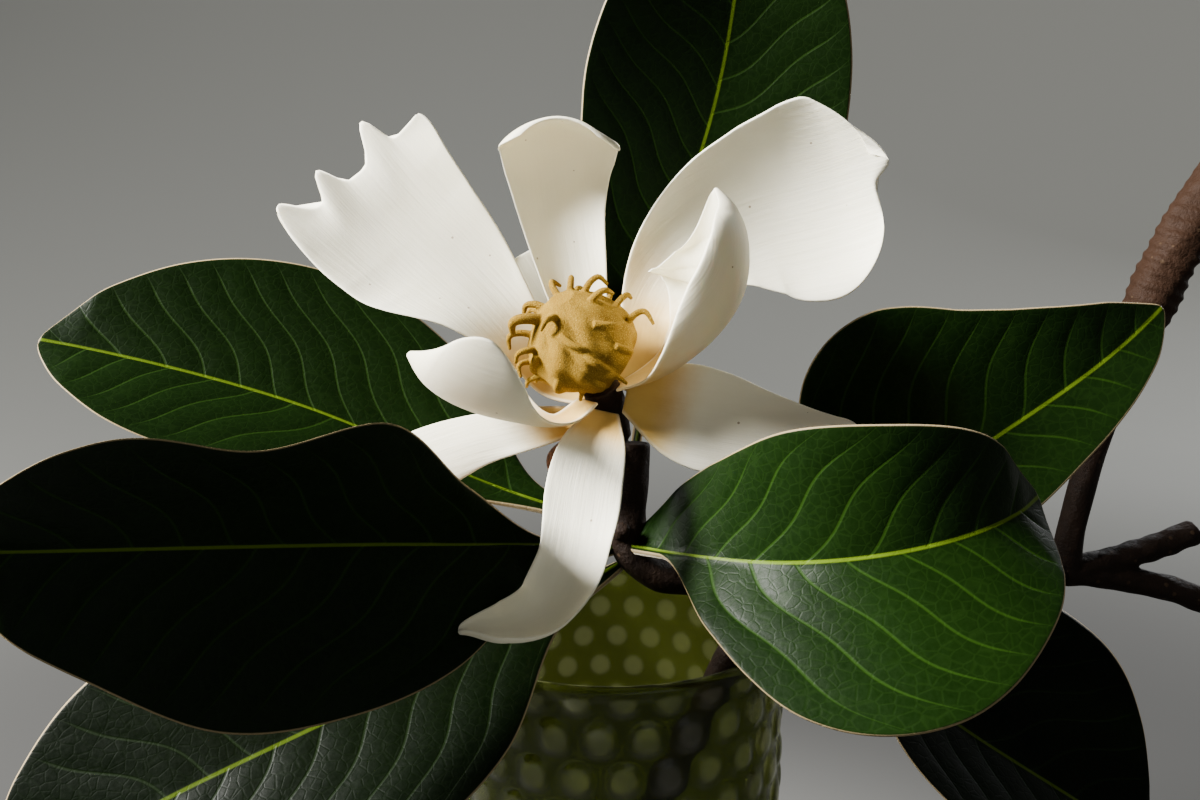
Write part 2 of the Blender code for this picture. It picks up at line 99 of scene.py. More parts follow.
VEIN_SPACING = 14.0      # along the midrib, between side veins
VEIN_SLOPE = 0.8         # how far a side vein runs forward for each unit outwards
VEIN_BEND = 0.005
VEIN_STAGGER = 0.25      # how far apart the two halves' veins start, in spacings
VEIN_WANDER = (0.22, 23.0)          # slow drift: size in spacings, length along the leaf
VEIN_WAVER = (0.12, 6.0, 14.0)      # quick one: size, length outwards, length along
VEIN_SQUARE = 0.75       # distance square to a side vein for each unit along the midrib

CAMERA_PLACE = (-0.0035, -0.3388, 0.3236)
CAMERA_PITCH = 8.0       # degrees below level
CAMERA_LENS = 30.5
WALL_DISTANCE = 2.4


# ------------------------------------------------------------------ curves and sheets

def unit(v):
    v = np.asarray(v, float)
    return v / np.maximum(np.linalg.norm(v, axis=-1, keepdims=True), 1e-9)


def smooth_through(values, t):
    """Catmull-Rom values through evenly spaced samples, t in 0..1."""
    v = np.asarray(values, float)
    flat = v.ndim == 1
    v = v.reshape(len(v), -1)
    if len(v) == 1:
        v = np.repeat(v, 2, 0)
    last = len(v) - 1
    x = np.clip(np.atleast_1d(t), 0, 1) * last
    i = np.minimum(x.astype(int), last - 1)
    f = (x - i)[:, None]
    before = np.where((i > 0)[:, None], v[np.maximum(i - 1, 0)], 2 * v[i] - v[i + 1])
    after = np.where((i < last - 1)[:, None], v[np.minimum(i + 2, last)], 2 * v[i + 1] - v[i])
    a, b = v[i], v[i + 1]
    out = 0.5 * (2 * a + (b - before) * f + (2 * before - 5 * a + 4 * b - after) * f ** 2
                 + (3 * a - before - 3 * b + after) * f ** 3)
    return out[:, 0] if flat else out


def flower_frame():
    axis = unit(FLOWER_AXIS)
    right = unit(np.cross((0, 1, 0), axis))
    return np.array(RECEPTACLE_BASE), axis, right, np.cross(axis, right)


def grown_path(start, length, headings):
    """Points of a path that grows from its start through headings at even steps.

    A heading is (swing, back) in degrees: swing turns from +X (0) to +Z (90) and on round,
    back leans away from the side that the flower faces.
    """
    count = max(round(length / GROWTH_STEP), FEWEST_STEPS)
    turns = np.radians(smooth_through(headings, (np.arange(count) + 0.5) / count))
    swing, back = turns[:, 0], turns[:, 1]
    ahead = np.stack([np.cos(back) * np.cos(swing), np.sin(back), np.cos(back) * np.sin(swing)], 1)
    return [*(np.asarray(start, float) + np.cumsum(ahead * length / count, 0))]


def grown_spine(shape):
    """A sheet's midrib: a leaf's from its foot, a petal's from its seat on the receptacle."""
    if "foot" in shape:
        return [np.array(shape["foot"], float),
                *grown_path(shape["foot"], shape["length"], shape["headings"])]
    turn, low, high = shape["seat"]
    base, axis, right, up = flower_frame()
    out = right * math.cos(math.radians(turn)) + up * math.sin(math.radians(turn))
    seat = [base + axis * low + out * (RECEPTACLE_RADIUS + SEAT_GAP)]
    if high is not None:
        seat.append(base + axis * high + out * CONE_CLEAR)
    return [*seat, *grown_path(seat[-1], shape["length"], shape["headings"])]


def ring_layout(ring):
    """Across position (+1..-1..+1) and side (+1 upper, -1 under, 0 on the margin) round a section."""
    half = ring // 2
    s = np.arange(half) / half
    v = (1 - ROUND_SHARE) * (1 - 2 * s) + ROUND_SHARE * np.cos(math.pi * s)
    v = np.concatenate([v, -v])
    side = np.ones(ring)
    side[half:] = -1
    side[0] = 0
    side[half] = 0
    return v, side


def sheet_points(shape, stations, ring, thick, relief=None):
    """Skin points of a curled sheet, with its across, along, edge and run values."""
    t = 1 - (1 - np.linspace(0, 1, stations)) ** SHEET_CROWDING
    midrib = grown_spine(shape)
    spine = smooth_through(midrib, t)
    ahead = smooth_through(midrib, np.clip(t + SHEET_STEP, 0, 1))
    behind = smooth_through(midrib, np.clip(t - SHEET_STEP, 0, 1))
    forward = unit(ahead - behind)
    up = smooth_through(shape["face"], t)
    up = unit(up - (up * forward).sum(1, keepdims=True) * forward)
    across = np.cross(forward, up)
    steps = np.linalg.norm(np.diff(spine, axis=0), axis=1)
    along = np.concatenate([[0], np.cumsum(steps)])
    tip = shape["tip"]
    rounded = np.where(t > 1 - tip, 1 - (np.maximum(t - 1 + tip, 0) / tip) ** 2, 1.0)
    rounded = np.maximum(rounded, 0.0) ** 0.5
    rounded = shape.get("end", 0) + (1 - shape.get("end", 0)) * rounded
    v, side = ring_layout(ring)
    points = np.zeros((stations, ring, 3))
    values = {key: np.zeros((stations, ring)) for key in ("across", "along", "edge", "run")}
    q = np.linspace(0, 1, CURL_STEPS + 1)[None, :]
    halves = {}
    for name, sign in (("left", -1), ("right", 1)):
        half = np.maximum(smooth_through(shape[name], t), shape[name][0]) * rounded
        half = np.maximum(half, NARROWEST)
        breadth = np.clip(half / FOLD_WIDTH, 0, 1)[:, None]
        turn = smooth_through(shape["turn"], t)[:, None]
        angle = np.radians(shape.get("fold", 0) * breadth + turn * q)
        mid_cos = (np.cos(angle[:, 1:]) + np.cos(angle[:, :-1])) / 2
        mid_sin = (np.sin(angle[:, 1:]) + np.sin(angle[:, :-1])) / 2
        zero = np.zeros((stations, 1))
        x = np.concatenate([zero, np.cumsum(mid_cos, 1)], 1) / CURL_STEPS
        y = np.concatenate([zero, np.cumsum(mid_sin, 1)], 1) / CURL_STEPS
        halves[sign] = (half, x, y, angle)
    depth = smooth_through(thick, t) / 2
    depth = depth * np.sqrt(1 - (1 - np.clip((along[-1] - along) / END_ROUND, 0.004, 1)) ** 2)
    grown = np.clip((t - SPIKE_START) / (1 - SPIKE_START), 0, 1) ** 2
    late = np.clip((t - ROLL_START) / (1 - ROLL_START), 0, 1) ** 2
    for k in range(ring):
        sign = 1 if v[k] >= 0 else -1
        half, xs, ys, angles = halves[sign]
        at = abs(v[k]) * CURL_STEPS
        low = min(int(at), CURL_STEPS - 1)
        f = at - low
        x = (xs[:, low] * (1 - f) + xs[:, low + 1] * f) * half
        y = (ys[:, low] * (1 - f) + ys[:, low + 1] * f) * half
        lean = angles[:, low] * (1 - f) + angles[:, low + 1] * f
        reach = abs(v[k]) * half
        offset = side[k] * depth * (1 - 0.35 * abs(v[k])) * math.sqrt(1 - abs(v[k]) ** 16)
        edge = np.minimum((1 - abs(v[k])) * half, along[-1] - along)
        if relief is not None:
            offset = offset + relief(sign * reach, along, edge, t, side[k])
        x = sign * (x - offset * np.sin(lean))
        y = y + offset * np.cos(lean)
        points[:, k] = spine + across * x[:, None] + up * y[:, None]
        pull = 0.0
        lift = shape.get("roll", 0.0)
        shift = 0.0
        for spot, tall, wide, bent, aside in shape.get("spikes", []):
            near = math.exp(-abs((v[k] - spot) / wide) ** 2.2)
            pull += tall * near
            lift += bent * near
            shift += aside * near
        points[:, k] += (forward * pull + across * shift) * grown[:, None]
        points[:, k] += up * (lift * late)[:, None]
        values["across"][:, k] = sign * reach
        values["along"][:, k] = along
        values["edge"][:, k] = edge
        values["run"][:, k] = t / shape.get("blush", 1.0)
    return points, values


def rolled_mesh(name, points, values=None, under_slot=False):
    """A grid rolled into a tube through points[station, ring] (mm), both ends filled."""
    stations, ring = points.shape[:2]
    bm = bmesh.new()
    bmesh.ops.create_grid(bm, x_segments=ring, y_segments=stations - 1, size=1.0)
    mesh = bpy.data.meshes.new(name)
    bm.to_mesh(mesh)
    count = len(mesh.vertices)
    co = np.zeros(count * 3, np.float32)
    mesh.vertices.foreach_get("co", co)
    co = co.reshape(-1, 3)
    i = np.round((co[:, 0] + 1) / 2 * ring).astype(int)
    j = np.round((co[:, 1] + 1) / 2 * (stations - 1)).astype(int)
    placed = points[j, i % ring] * MM
    mesh.vertices.foreach_set("co", placed.astype(np.float32).ravel())
    for key, table in (values or {}).items():
        layer = mesh.attributes.new(key, "FLOAT", "POINT")
        layer.data.foreach_set("value", table[j, i % ring].astype(np.float32))
    if under_slot:
        corners = np.zeros(len(mesh.loops), np.int32)
        mesh.loops.foreach_get("vertex_index", corners)
        first = i[corners.reshape(-1, 4)].min(1)
        mesh.polygons.foreach_set("material_index", (first >= ring // 2).astype(np.int32))
    bm.clear()
    bm.from_mesh(mesh)
    bmesh.ops.remove_doubles(bm, verts=bm.verts, dist=WELD)
    bmesh.ops.holes_fill(bm, edges=[e for e in bm.edges if e.is_boundary], sides=0)
    bmesh.ops.recalc_face_normals(bm, faces=bm.faces)
    for face in bm.faces:
        face.smooth = True
    bm.to_mesh(mesh)
    bm.free()
    return mesh


def tube_points(path, radii, stations, ring, swell=None):
    t = np.linspace(0, 1, stations)
    middle = smooth_through(path, t)
    ends = np.clip(np.stack([t - TUBE_STEP, t + TUBE_STEP]), 0, 1)
    forward = unit(smooth_through(path, ends[1]) - smooth_through(path, ends[0]))
    side = unit(np.cross(forward, TUBE_SIDE))
    other = np.cross(forward, side)
    angle = 2 * math.pi * np.arange(ring) / ring
    radius = np.repeat(smooth_through(radii, t)[:, None], ring, 1)
    if swell is not None:
        radius = radius * swell(t[:, None], angle[None, :])
    return (middle[:, None] + radius[..., None] * (side[:, None] * np.cos(angle)[None, :, None]
                                                  + other[:, None] * np.sin(angle)[None, :, None]))


def place(mesh, node_name, slot_name, *materials):
    piece = bpy.data.objects.new(mesh.name, mesh)
    bpy.context.collection.objects.link(piece)
    for mat in materials:
        mesh.materials.append(mat)
    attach(piece, "root")
    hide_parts(node_name)


def skin_over(name, meshes, voxel, smoothing):
    """One continuous skin over several overlapping closed meshes."""
    bm = bmesh.new()
    for mesh in meshes:
        bm.from_mesh(mesh)
        bpy.data.meshes.remove(mesh)
    joined = bpy.data.meshes.new(name + "_core")
    bm.to_mesh(joined)
    bm.free()
    core = bpy.data.objects.new(name + "_core", joined)
    bpy.context.collection.objects.link(core)
    remesh = core.modifiers.new("skin", "REMESH")
    remesh.mode = "VOXEL"
    remesh.voxel_size = voxel
    skin = bpy.data.meshes.new_from_object(core.evaluated_get(bpy.context.evaluated_depsgraph_get()))
    bpy.data.objects.remove(core)
    bpy.data.meshes.remove(joined)
    skin.name = name
    bm = bmesh.new()
    bm.from_mesh(skin)
    for _ in range(smoothing):
        bmesh.ops.smooth_vert(bm, verts=bm.verts, factor=0.5, use_axis_x=True, use_axis_y=True,
                              use_axis_z=True)
    for face in bm.faces:
        face.smooth = True
    bm.to_mesh(skin)
    bm.free()
    return skin


# ------------------------------------------------------------------ node helpers

def add(tree, kind, inputs=None, **settings):
    made = tree.nodes.new(kind)
    for key, value in settings.items():
        setattr(made, key, value)
    for key, value in (inputs or {}).items():
        if isinstance(value, bpy.types.NodeSocket):
            tree.links.new(value, made.inputs[key])
        else:
            made.inputs[key].default_value = value
    return made


def calc(tree, operation, a, b=0.0, c=0.0, clamp=False):
    return add(tree, "ShaderNodeMath", {0: a, 1: b, 2: c}, operation=operation,
               use_clamp=clamp).outputs[0]


def fade(tree, value, low, high):
    """0 below low, 1 above high, smooth between."""
    return add(tree, "ShaderNodeMapRange", {"Value": value, "From Min": low, "From Max": high},
               interpolation_type="SMOOTHSTEP").outputs["Result"]


def blend(tree, share, first, second):
    mixed = add(tree, "ShaderNodeMix", data_type="RGBA", blend_type="MIX")
    for index, value in ((0, share), (6, first), (7, second)):
        if isinstance(value, bpy.types.NodeSocket):
            tree.links.new(value, mixed.inputs[index])
        elif isinstance(value, float):
            mixed.inputs[index].default_value = value
        else:
            mixed.inputs[index].default_value = (*value, 1.0)
    return mixed.outputs[2]


def attribute(tree, name):
    return add(tree, "ShaderNodeAttribute", attribute_name=name).outputs["Fac"]


def start_group(name, inputs, outputs):
    tree = bpy.data.node_groups.new(name, "ShaderNodeTree")
    for socket, value in inputs.items():
        kind = "NodeSocketVector" if value is None else "NodeSocketFloat"
        made = tree.interface.new_socket(socket, in_out="INPUT", socket_type=kind)
        if value is not None:
            made.default_value = value
    for socket in outputs:
        tree.interface.new_socket(socket, in_out="OUTPUT", socket_type="NodeSocketFloat")
    return tree, tree.nodes.new("NodeGroupInput").outputs, tree.nodes.new("NodeGroupOutput").inputs


def mottle_group():
    """Soft uneven tone, 0..1, at a scale in waves per metre."""
    tree, given, put = start_group("mottle", {"Vector": None, "Scale": 60.0, "Contrast": 1.0},
                                   ["Value"])
    noise = add(tree, "ShaderNodeTexNoise",
                {"Vector": given["Vector"], "Scale": given["Scale"], "Detail": 5.0,
                 "Roughness": 0.6})
    spread = calc(tree, "MULTIPLY_ADD", calc(tree, "SUBTRACT", noise.outputs["Fac"], 0.5),
                  given["Contrast"], 0.5, clamp=True)
    tree.links.new(spread, put["Value"])
    return tree


def fleck_group():
    """A mask of sparse small round spots."""
    tree, given, put = start_group("flecks", {"Vector": None, "Scale": 300.0, "Size": 0.12,
                                              "Share": 0.1}, ["Mask"])
    cells = add(tree, "ShaderNodeTexVoronoi", {"Vector": given["Vector"], "Scale": given["Scale"]})
    near = calc(tree, "LESS_THAN", cells.outputs["Distance"], given["Size"])
    pick = add(tree, "ShaderNodeSeparateColor", {"Color": cells.outputs["Color"]})
    chosen = calc(tree, "LESS_THAN", pick.outputs[0], given["Share"])
    tree.links.new(calc(tree, "MULTIPLY", near, chosen), put["Mask"])
    return tree


def vein_group():
    """Midrib, side veins and the fine net between them, from a leaf's own across and along."""
    tree, given, put = start_group("veins", {"Across": 0.0, "Along": 0.0, "Edge": 10.0},
                                   ["Rib", "Vein", "Net"])
    out = calc(tree, "ABSOLUTE", given["Across"])
    side = calc(tree, "SIGN", given["Across"])
    drift, drift_length = VEIN_WANDER
    waver, waver_out, waver_along = VEIN_WAVER
    slow = calc(tree, "ADD", calc(tree, "DIVIDE", given["Along"], drift_length), side)
    wander = calc(tree, "MULTIPLY", calc(tree, "SINE", slow), drift)
    quick = calc(tree, "ADD", calc(tree, "DIVIDE", out, waver_out),
                 calc(tree, "DIVIDE", given["Along"], waver_along))
    quick = calc(tree, "SINE", calc(tree, "MULTIPLY_ADD", side, 2.0, quick))
    wander = calc(tree, "MULTIPLY_ADD", quick, waver, wander)
    run = calc(tree, "SUBTRACT", given["Along"], calc(tree, "MULTIPLY", out, VEIN_SLOPE))
    run = calc(tree, "SUBTRACT", run, calc(tree, "MULTIPLY", calc(tree, "MULTIPLY", out, out), VEIN_BEND))
    count = calc(tree, "ADD", calc(tree, "DIVIDE", run, VEIN_SPACING), wander)
    count = calc(tree, "MULTIPLY_ADD", side, VEIN_STAGGER, count)
    off = calc(tree, "ABSOLUTE", calc(tree, "SUBTRACT", count, calc(tree, "ROUND", count)))
    away = calc(tree, "MULTIPLY", off, VEIN_SPACING * VEIN_SQUARE)
    inner = fade(tree, given["Edge"], 1.0, 12.0)
    width = calc(tree, "MULTIPLY_ADD", inner, 0.3, 0.25)
    vein = calc(tree, "SUBTRACT", 1.0, fade(tree, calc(tree, "DIVIDE", away, width), 0.2, 1.1))
    tree.links.new(calc(tree, "MULTIPLY", vein, calc(tree, "MULTIPLY_ADD", inner, 0.75, 0.25)),
                   put["Vein"])
    tree.links.new(calc(tree, "SUBTRACT", 1.0, fade(tree, out, 0.3, 0.85)), put["Rib"])
    flat = add(tree, "ShaderNodeCombineXYZ", {"X": given["Across"], "Y": given["Along"]})
    net = add(tree, "ShaderNodeTexVoronoi", {"Vector": flat.outputs[0], "Scale": 0.33},
              feature="DISTANCE_TO_EDGE")
    tree.links.new(calc(tree, "SUBTRACT", 1.0, fade(tree, net.outputs["Distance"], 0.0, 0.12)),
                   put["Net"])
    return tree


MOTTLE = mottle_group()
FLECKS = fleck_group()
VEINS = vein_group()


def use_group(tree, group, inputs):
    made = tree.nodes.new("ShaderNodeGroup")
    made.node_tree = group
    for key, value in inputs.items():
        if isinstance(value, bpy.types.NodeSocket):
            tree.links.new(value, made.inputs[key])
        else:
            made.inputs[key].default_value = value
    return made.outputs


def mottle(tree, where, scale, contrast):
    return use_group(tree, MOTTLE, {"Vector": where, "Scale": scale, "Contrast": contrast})["Value"]


def start_material(name, **values):
    mat = bpy.data.materials.new(name)
    mat.use_nodes = True
    tree = mat.node_tree
    shader = tree.nodes["Principled BSDF"]
    for key, value in values.items():
        shader.inputs[key.replace("_", " ")].default_value = value
    where = add(tree, "ShaderNodeTexCoord").outputs["Object"]
    return mat, tree, shader, where


def bump(tree, shader, height, strength, distance):
    made = add(tree, "ShaderNodeBump", {"Height": height, "Strength": strength,
                                        "Distance": distance})
    tree.links.new(made.outputs[0], shader.inputs["Normal"])


# ------------------------------------------------------------------ materials

def petal_material(name, inner):
    """Cream petal: golden foot, faint lengthwise ridges, a few brown specks, and a darker, warmer outside
    that is partly its own tone and partly painted shade.
    """
    mat, tree, shader, where = start_material(
        name, Subsurface_Weight=0.05, Subsurface_Scale=0.003, Specular_IOR_Level=0.25,
        Sheen_Weight=0.08)
    shader.inputs["Subsurface Radius"].default_value = (1.0, 0.75, 0.4)
    tone = mottle(tree, where, 45.0, 1.5)
    cream = blend(tree, tone, (0.80, 0.76, 0.58), (0.86, 0.83, 0.69))
    # the outer side is painted darker: partly the petal's warmer tone, partly painted shade
    if not inner:
        cream = blend(tree, tone, (0.74, 0.69, 0.50), (0.80, 0.76, 0.60))
    run = attribute(tree, "run")
    ragged = calc(tree, "MULTIPLY_ADD", tone, 0.12, run)
    foot = calc(tree, "SUBTRACT", 1.0, fade(tree, ragged, 0.2, 0.5))
    gold = blend(tree, tone, (0.50, 0.24, 0.0), (0.66, 0.42, 0.02))
    colour = blend(tree, calc(tree, "MULTIPLY", foot, 0.85), cream, gold)
    margin = calc(tree, "SUBTRACT", 1.0, fade(tree, attribute(tree, "edge"), 0.2, 1.6))
    colour = blend(tree, calc(tree, "MULTIPLY", margin, 0.5), colour, (0.84, 0.80, 0.64))
    specks = use_group(tree, FLECKS, {"Vector": where, "Scale": 330.0, "Size": 0.13,
                                      "Share": 0.05})["Mask"]
    colour = blend(tree, calc(tree, "MULTIPLY", specks, 0.75), colour, (0.20, 0.13, 0.06))
    tree.links.new(colour, shader.inputs["Base Color"])
    grain = mottle(tree, where, 420.0, 1.0)
    tree.links.new(calc(tree, "MULTIPLY_ADD", grain, 0.2, 0.5), shader.inputs["Roughness"])
    lengthwise = add(tree, "ShaderNodeCombineXYZ", {
        "X": calc(tree, "MULTIPLY", attribute(tree, "across"), 0.55),
        "Y": calc(tree, "MULTIPLY", attribute(tree, "along"), 0.03)})
    ridges = mottle(tree, lengthwise.outputs[0], 1.0, 1.2)
    height = calc(tree, "MULTIPLY_ADD", ridges, 0.8, calc(tree, "MULTIPLY", grain, 0.2))
    bump(tree, shader, height, 0.35, 0.0006)
    return mat


def leaf_top_material(name, light):
    """Waxy green upper side with yellow-green ribs, a fine net and a pale tan margin; light scales its
    greens and ribs as painted light and shade.
    """
    mat, tree, shader, where = start_material(
        name, Specular_IOR_Level=0.05)
    edge = attribute(tree, "edge")
    veins = use_group(tree, VEINS, {"Across": attribute(tree, "across"),
                                    "Along": attribute(tree, "along"), "Edge": edge})
    tone = mottle(tree, where, 38.0, 1.8)
    fine = mottle(tree, where, 700.0, 1.4)
    # light darkens or lightens every green here together: painted shade or painted light for how this
    # leaf is lit
    deep = tuple(light * c for c in (0.0012, 0.0055, 0.0004))
    fresh = tuple(light * c for c in (0.0035, 0.012, 0.0012))
    bright = tuple(light * c for c in (0.009, 0.024, 0.003))
    veined = tuple(light * c for c in (0.020, 0.055, 0.004))
    ribbed = tuple((0.25 + 0.75 * light) * c for c in (0.08, 0.13, 0.006))
    green = blend(tree, tone, deep, fresh)
    green = blend(tree, calc(tree, "MULTIPLY", fine, 0.3), green, bright)
    green = blend(tree, calc(tree, "MULTIPLY", veins["Net"], 0.25), green, bright)
    green = blend(tree, calc(tree, "MULTIPLY", veins["Vein"], 0.45), green, veined)
    green = blend(tree, veins["Rib"], green, ribbed)
    margin = calc(tree, "SUBTRACT", 1.0, fade(tree, edge, 0.25, 0.6))
    green = blend(tree, margin, green, (0.26, 0.20, 0.11))
    tree.links.new(green, shader.inputs["Base Color"])
    rough = calc(tree, "MULTIPLY_ADD", fine, 0.16, 0.30)
    tree.links.new(calc(tree, "MULTIPLY_ADD", veins["Vein"], 0.12, rough), shader.inputs["Roughness"])
    height = calc(tree, "MULTIPLY_ADD", fine, 0.12, calc(tree, "MULTIPLY", veins["Net"], -0.12))
    height = calc(tree, "MULTIPLY_ADD", veins["Vein"], -0.4, height)
    height = calc(tree, "MULTIPLY_ADD", tone, 0.8, height)
    bump(tree, shader, height, 0.5, 0.0004)
    return mat


def leaf_under_material():
    """Rust-brown felt with raised ribs."""
    mat, tree, shader, where = start_material("leaf_under", Sheen_Weight=0.3, Sheen_Roughness=0.6)
    edge = attribute(tree, "edge")
    veins = use_group(tree, VEINS, {"Across": attribute(tree, "across"),
                                    "Along": attribute(tree, "along"), "Edge": edge})
    tone = mottle(tree, where, 55.0, 1.8)
    felt = mottle(tree, where, 1500.0, 1.6)
    brown = blend(tree, tone, (0.13, 0.060, 0.017), (0.24, 0.125, 0.038))
    brown = blend(tree, calc(tree, "MULTIPLY", felt, 0.5), brown, (0.28, 0.17, 0.06))
    brown = blend(tree, calc(tree, "MULTIPLY", veins["Vein"], 0.5), brown, (0.42, 0.30, 0.12))
    brown = blend(tree, veins["Rib"], brown, (0.46, 0.38, 0.15))
    margin = calc(tree, "SUBTRACT", 1.0, fade(tree, edge, 0.25, 0.75))
    brown = blend(tree, margin, brown, (0.42, 0.34, 0.20))
    tree.links.new(brown, shader.inputs["Base Color"])
    tree.links.new(calc(tree, "MULTIPLY_ADD", felt, 0.2, 0.72), shader.inputs["Roughness"])
    height = calc(tree, "MULTIPLY_ADD", veins["Vein"], 0.6, calc(tree, "MULTIPLY", felt, 0.7))
    height = calc(tree, "MULTIPLY_ADD", veins["Net"], 0.25, height)
    bump(tree, shader, height, 0.6, 0.0004)
    return mat


def bark_material():
    """Dark brown bark, redder on the young swollen wood, with pale corky dots."""
    mat, tree, shader, where = start_material("bark", Specular_IOR_Level=0.1)
    tone = mottle(tree, where, 120.0, 2.2)
    fine = mottle(tree, where, 900.0, 1.8)
    dots = use_group(tree, FLECKS, {"Vector": where, "Scale": 380.0, "Size": 0.28,
                                    "Share": 0.16})["Mask"]
    brown = blend(tree, tone, (0.002, 0.001, 0.0007), (0.010, 0.005, 0.003))
    split = add(tree, "ShaderNodeSeparateXYZ", {"Vector": where})
    young = fade(tree, split.outputs["Z"], 0.24, 0.31)
    brown = blend(tree, calc(tree, "MULTIPLY", young, 0.7), brown, (0.022, 0.009, 0.004))
    brown = blend(tree, calc(tree, "MULTIPLY", fine, 0.35), brown, (0.022, 0.012, 0.006))
    brown = blend(tree, calc(tree, "MULTIPLY", dots, 0.55), brown, (0.05, 0.03, 0.016))
    tree.links.new(brown, shader.inputs["Base Color"])
    tree.links.new(calc(tree, "MULTIPLY_ADD", fine, 0.3, 0.5), shader.inputs["Roughness"])
    height = calc(tree, "MULTIPLY_ADD", tone, 1.0, calc(tree, "MULTIPLY", fine, 0.5))
    height = calc(tree, "MULTIPLY_ADD", dots, 0.35, height)
    bump(tree, shader, height, 0.8, 0.0007)
    return mat


def bract_material():
    mat, tree, shader, where = start_material("bract", Sheen_Weight=0.2)
    tone = mottle(tree, where, 160.0, 2.0)
    fine = mottle(tree, where, 1300.0, 1.5)
    brown = blend(tree, tone, (0.13, 0.045, 0.026), (0.33, 0.15, 0.085))
    brown = blend(tree, calc(tree, "MULTIPLY", fine, 0.4), brown, (0.42, 0.25, 0.15))
    tree.links.new(brown, shader.inputs["Base Color"])
    tree.links.new(calc(tree, "MULTIPLY_ADD", fine, 0.2, 0.65), shader.inputs["Roughness"])
    bump(tree, shader, calc(tree, "ADD", tone, fine), 0.7, 0.0005)
    return mat


def flock_material():
    """Golden flock: pale grains standing on a deeper yellow ground."""
    mat, tree, shader, where = start_material("carpel_flock", Specular_IOR_Level=0.05)
    tone = mottle(tree, where, 150.0, 2.0)
    grain = add(tree, "ShaderNodeTexVoronoi", {"Vector": where, "Scale": 2300.0})
    fuzz = mottle(tree, where, 2100.0, 2.0)
    gold = blend(tree, tone, (0.22, 0.12, 0.012), (0.34, 0.20, 0.02))
    light = calc(tree, "SUBTRACT", 1.0, fade(tree, grain.outputs["Distance"], 0.15, 0.5))
    gold = blend(tree, calc(tree, "MULTIPLY", light, 0.6), gold, (0.62, 0.44, 0.09))
    gold = blend(tree, calc(tree, "MULTIPLY", fuzz, 0.35), gold, (0.07, 0.028, 0.0))
    tree.links.new(gold, shader.inputs["Base Color"])
    tree.links.new(calc(tree, "MULTIPLY_ADD", fuzz, 0.15, 0.8), shader.inputs["Roughness"])
    bump(tree, shader, calc(tree, "ADD", light, fuzz), 0.9, 0.0004)
    return mat


def glass_material():
    """Olive-green pressed glass, painted paler and clearer where a hobnail stands: a painted highlight on
    each dome.
    """
    mat, tree, shader, where = start_material(
        "hobnail_glass", Metallic=0.0, Transmission_Weight=0.96, IOR=1.3, Specular_IOR_Level=0.2)
    tone = mottle(tree, where, 30.0, 1.4)
    green = blend(tree, tone, (0.14, 0.17, 0.02), (0.18, 0.21, 0.032))
    # painted highlight: the glass turns near colourless over each hobnail dome
    dome_and_painted_highlight = fade(tree, attribute(tree, "dome_and_painted_highlight"), 0.25, 0.8)
    green = blend(tree, dome_and_painted_highlight, green, (1.0, 1.0, 0.85))
    tree.links.new(green, shader.inputs["Base Color"])
    tree.links.new(calc(tree, "MULTIPLY_ADD", tone, 0.08, 0.12), shader.inputs["Roughness"])
    bump(tree, shader, tone, 0.15, 0.0006)
    return mat
